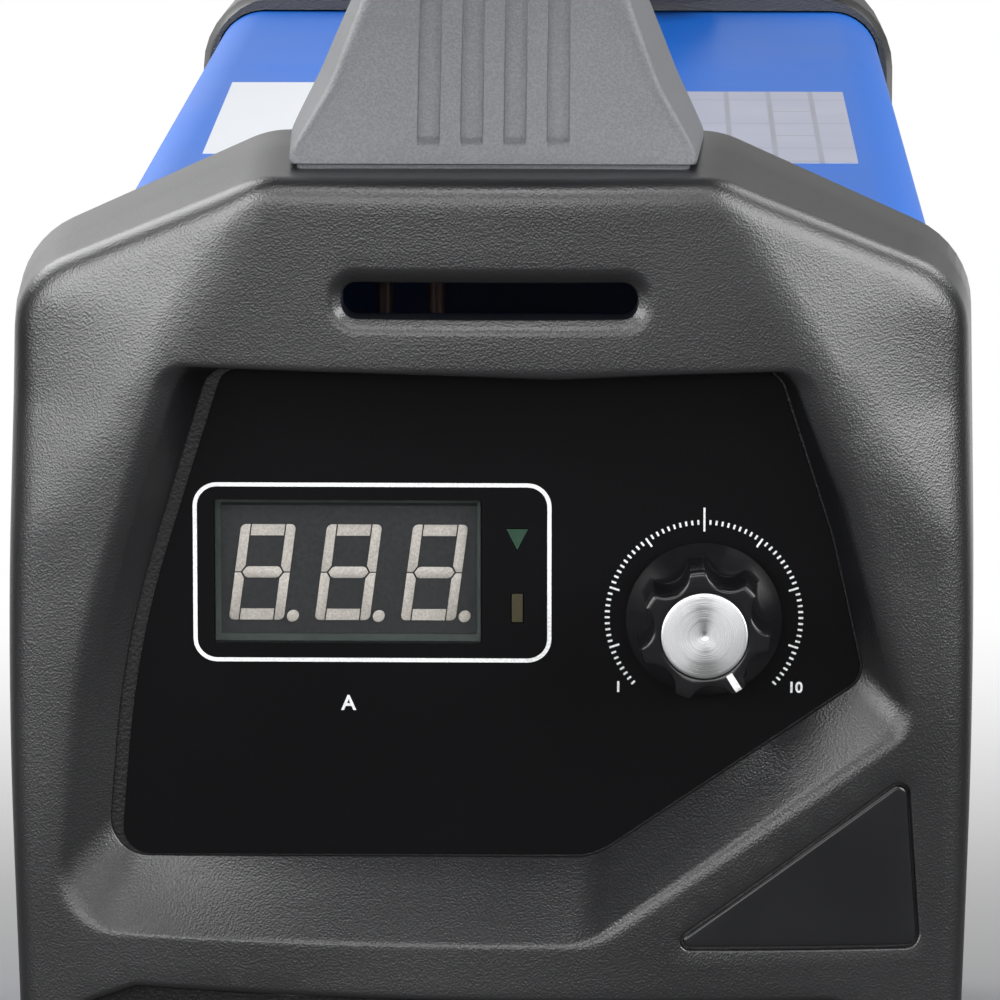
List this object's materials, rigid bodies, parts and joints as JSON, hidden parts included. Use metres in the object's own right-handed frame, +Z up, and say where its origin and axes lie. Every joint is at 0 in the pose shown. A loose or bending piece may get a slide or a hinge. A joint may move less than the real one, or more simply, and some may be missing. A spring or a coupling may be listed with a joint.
{
  "type": "inverter arc welder",
  "caption": "Portable inverter arc welder with a bowed front bezel, control knob, digital display, output sockets and a carrying handle.",
  "frame": {"origin": "on the floor under the middle of the machine's bounding box", "axes": "+X to the right as seen from the front, +Y to the rear, +Z up; the front bezel faces -Y"},
  "size_m": [0.144, 0.4014, 0.257],
  "materials": {
    "bezel_plastic": "moulded charcoal plastic with a fine spark texture",
    "handle_plastic": "moulded mid grey plastic with a fine spark texture",
    "grip_plastic": "moulded dark plastic, ribbed underside",
    "blue_paint": "smooth satin powder coat on sheet steel",
    "tray_paint": "fine-textured dark powder coat on sheet steel",
    "panel_plastic": "moulded dark plastic with a fine texture",
    "panel_film": "matte printed film",
    "window_plastic": "clear grey acrylic",
    "display_plastic": "dark grey display face",
    "segment_plastic": "unlit milky segments",
    "light_plastic": "unlit tinted light guides",
    "knob_plastic": "moulded black plastic",
    "spun_aluminium": "turned in fine circles",
    "badge_plastic": "glossy black plastic",
    "black_plastic": "moulded black plastic",
    "brass": "machined brass",
    "white_ink": "white print",
    "rubber": "black rubber",
    "zinc_steel": "zinc-plated steel",
    "fan_plastic": "black plastic",
    "board": "green circuit board",
    "sink_aluminium": "extruded aluminium",
    "ferrite": "dark sintered ferrite",
    "copper": "enamelled copper winding",
    "component_black": "moulded component bodies",
    "capacitor_sleeve": "shrink sleeve",
    "relay_plastic": "moulded relay case",
    "wire_sheath": "wire insulation",
    "ribbon": "grey ribbon cable",
    "paper": "white printed film label"
  },
  "bodies": {
    "housing": {"front_bezel": "bezel_plastic", "rear_bezel": "bezel_plastic", "top_cover": "blue_paint", "base_tray": "tray_paint", "handle": "handle_plastic", "handle_insert": "grip_plastic", "handle_screws": "zinc_steel", "control_panel": "panel_plastic", "panel_overlay": "panel_film", "panel_screws": "zinc_steel", "display_window": "window_plastic", "display_module": "display_plastic", "digit_segments": "segment_plastic", "indicator_lights": "light_plastic", "control_board": "board", "potentiometer": "zinc_steel", "pot_nut": "zinc_steel", "badge_plate": "badge_plastic", "socket_panel": "black_plastic", "socket_panel_screws": "zinc_steel", "socket_plus": "black_plastic", "socket_minus": "black_plastic", "contact_plus": "brass", "contact_minus": "brass", "socket_nuts": "brass", "polarity_marks": "white_ink", "feet": "rubber", "foot_screws": "zinc_steel", "cover_screws": "zinc_steel", "bezel_screws": "zinc_steel", "fan_frame": "fan_plastic", "fan_screws": "zinc_steel", "switch_body": "black_plastic", "cable_gland": "black_plastic", "gland_nut": "black_plastic", "earth_stud": "brass", "earth_nuts": "zinc_steel", "main_board": "board", "board_standoffs": "brass", "heatsink_left": "sink_aluminium", "heatsink_right": "sink_aluminium", "power_transistors": "component_black", "transformer_core": "ferrite", "transformer_winding": "copper", "choke_core": "ferrite", "choke_winding": "copper", "capacitors": "capacitor_sleeve", "bridge_rectifier": "component_black", "relay": "relay_plastic", "busbars": "copper", "ribbon_cable": "ribbon", "mains_wires": "wire_sheath", "cover_labels": "paper"},
    "knob": {"knob": "knob_plastic", "knob_cap": "spun_aluminium", "pot_shaft": "zinc_steel"},
    "fan": {"fan_rotor": "fan_plastic"},
    "rocker": {"switch_rocker": "black_plastic"}
  },
  "joints": [
    {"name": "knob_turn", "type": "hinge", "parent": "housing", "child": "knob", "pos_m": [0.0313, -0.1863, 0.1434], "axis": [0, 1, 0], "range_deg": [-296, 0]},
    {"name": "fan_spin", "type": "hinge", "parent": "housing", "child": "fan", "pos_m": [0.0032, 0.1687, 0.074], "axis": [0, 1, 0], "continuous": true},
    {"name": "switch_rock", "type": "hinge", "parent": "housing", "child": "rocker", "pos_m": [-0.0228, 0.1797, 0.165], "axis": [1, 0, 0], "range_deg": [-24, 0]}
  ]
}
